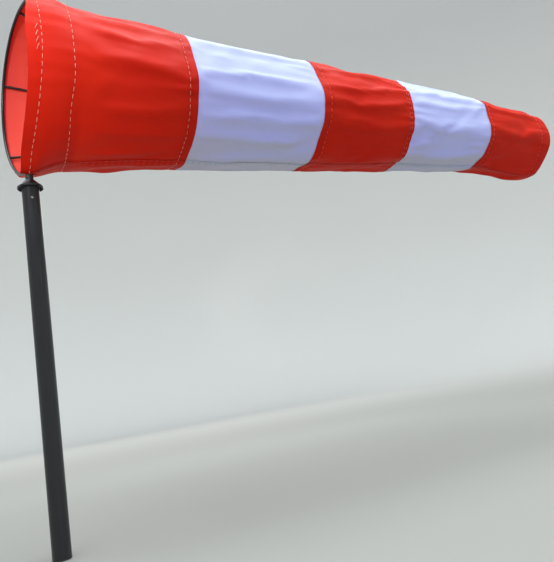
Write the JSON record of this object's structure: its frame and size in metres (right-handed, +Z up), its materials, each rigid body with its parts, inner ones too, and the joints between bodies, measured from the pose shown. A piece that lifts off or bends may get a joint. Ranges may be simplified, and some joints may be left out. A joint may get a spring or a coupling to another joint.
{
  "type": "windsock with pole",
  "caption": "Striped fabric windsock held open by a swivelling ring basket on a bearing head, on a straight tube pole.",
  "frame": {"origin": "centre of the pole's foot, on the underside of its plug", "axes": "+Z up along the pole, +X the way the sock streams, +Y to the left of it"},
  "size_m": [2.0412, 0.471, 1.401],
  "materials": {
    "red_fabric": "coated nylon, orange-red, matt with a soft sheen",
    "white_fabric": "coated nylon, white, matt with a soft sheen",
    "tie_webbing": "black woven tape",
    "mast_paint": "black powder coat, satin",
    "frame_paint": "black powder coat, satin",
    "spindle_steel": "blackened steel, brushed",
    "fastener_steel": "plain steel",
    "bearing_steel": "ground bearing steel",
    "housing_alloy": "turned",
    "spacer_alloy": "turned",
    "cage_plastic": "moulded polyamide",
    "seal_rubber": "moulded",
    "black_plastic": "moulded, fine grain"
  },
  "bodies": {
    "mast": {"pole_tube": "mast_paint", "foot_plug": "black_plastic", "bearing_housing": "housing_alloy", "housing_screws": "fastener_steel", "upper_bearing_outer": "bearing_steel", "upper_bearing_seals": "seal_rubber", "lower_bearing_outer": "bearing_steel", "lower_bearing_seals": "seal_rubber"},
    "ball_sets": {"upper_bearing_balls": "bearing_steel", "upper_bearing_cage": "cage_plastic", "lower_bearing_balls": "bearing_steel", "lower_bearing_cage": "cage_plastic"},
    "head": {"spindle": "spindle_steel", "spindle_clip": "fastener_steel", "inner_spacer": "spacer_alloy", "upper_bearing_inner": "bearing_steel", "lower_bearing_inner": "bearing_steel", "rain_cap": "mast_paint", "cap_grub_screw": "fastener_steel", "ring_gusset": "frame_paint", "front_ring": "frame_paint", "rear_ring": "frame_paint", "basket_rod_1": "frame_paint", "basket_rod_2": "frame_paint", "basket_rod_3": "frame_paint", "basket_rod_4": "frame_paint", "basket_rod_5": "frame_paint", "basket_rod_6": "frame_paint", "tie_tapes": "tie_webbing", "mouth_hem_band": "red_fabric", "band_1_red_front": "red_fabric"},
    "sock_1": {"band_1_red_back": "red_fabric", "band_2_white_front": "white_fabric"},
    "sock_2": {"band_2_white_back": "white_fabric", "band_3_red_front": "red_fabric"},
    "sock_3": {"band_3_red_back": "red_fabric", "band_4_white_front": "white_fabric"},
    "sock_4": {"band_4_white_back": "white_fabric", "band_5_red": "red_fabric", "tail_hem": "red_fabric"}
  },
  "joints": [
    {"name": "head_yaw", "type": "hinge", "parent": "mast", "child": "head", "pos_m": [0, 0, 0.855], "axis": [0, 0, 1], "continuous": true},
    {"name": "ball_orbit", "type": "hinge", "parent": "mast", "child": "ball_sets", "pos_m": [0, 0, 0.855], "axis": [0, 0, 1], "continuous": true},
    {"name": "sock_fold_1", "type": "hinge", "parent": "head", "child": "sock_1", "pos_m": [0.27, 0, 1.167], "axis": [0, 1, 0], "range_deg": [0, 14.5]},
    {"name": "sock_fold_2", "type": "hinge", "parent": "sock_1", "child": "sock_2", "pos_m": [0.6, 0, 1.167], "axis": [0, 1, 0], "range_deg": [0, 14.5]},
    {"name": "sock_fold_3", "type": "hinge", "parent": "sock_2", "child": "sock_3", "pos_m": [1, 0, 1.167], "axis": [0, 1, 0], "range_deg": [0, 14.5]},
    {"name": "sock_fold_4", "type": "hinge", "parent": "sock_3", "child": "sock_4", "pos_m": [1.4, 0, 1.167], "axis": [0, 1, 0], "range_deg": [0, 14.5]}
  ],
  "couplings": [
    {"joint": "ball_orbit", "follows": "head_yaw", "ratio": 0.3987},
    {"joint": "sock_fold_2", "follows": "sock_fold_1", "ratio": 1},
    {"joint": "sock_fold_3", "follows": "sock_fold_1", "ratio": 1},
    {"joint": "sock_fold_4", "follows": "sock_fold_1", "ratio": 1}
  ]
}
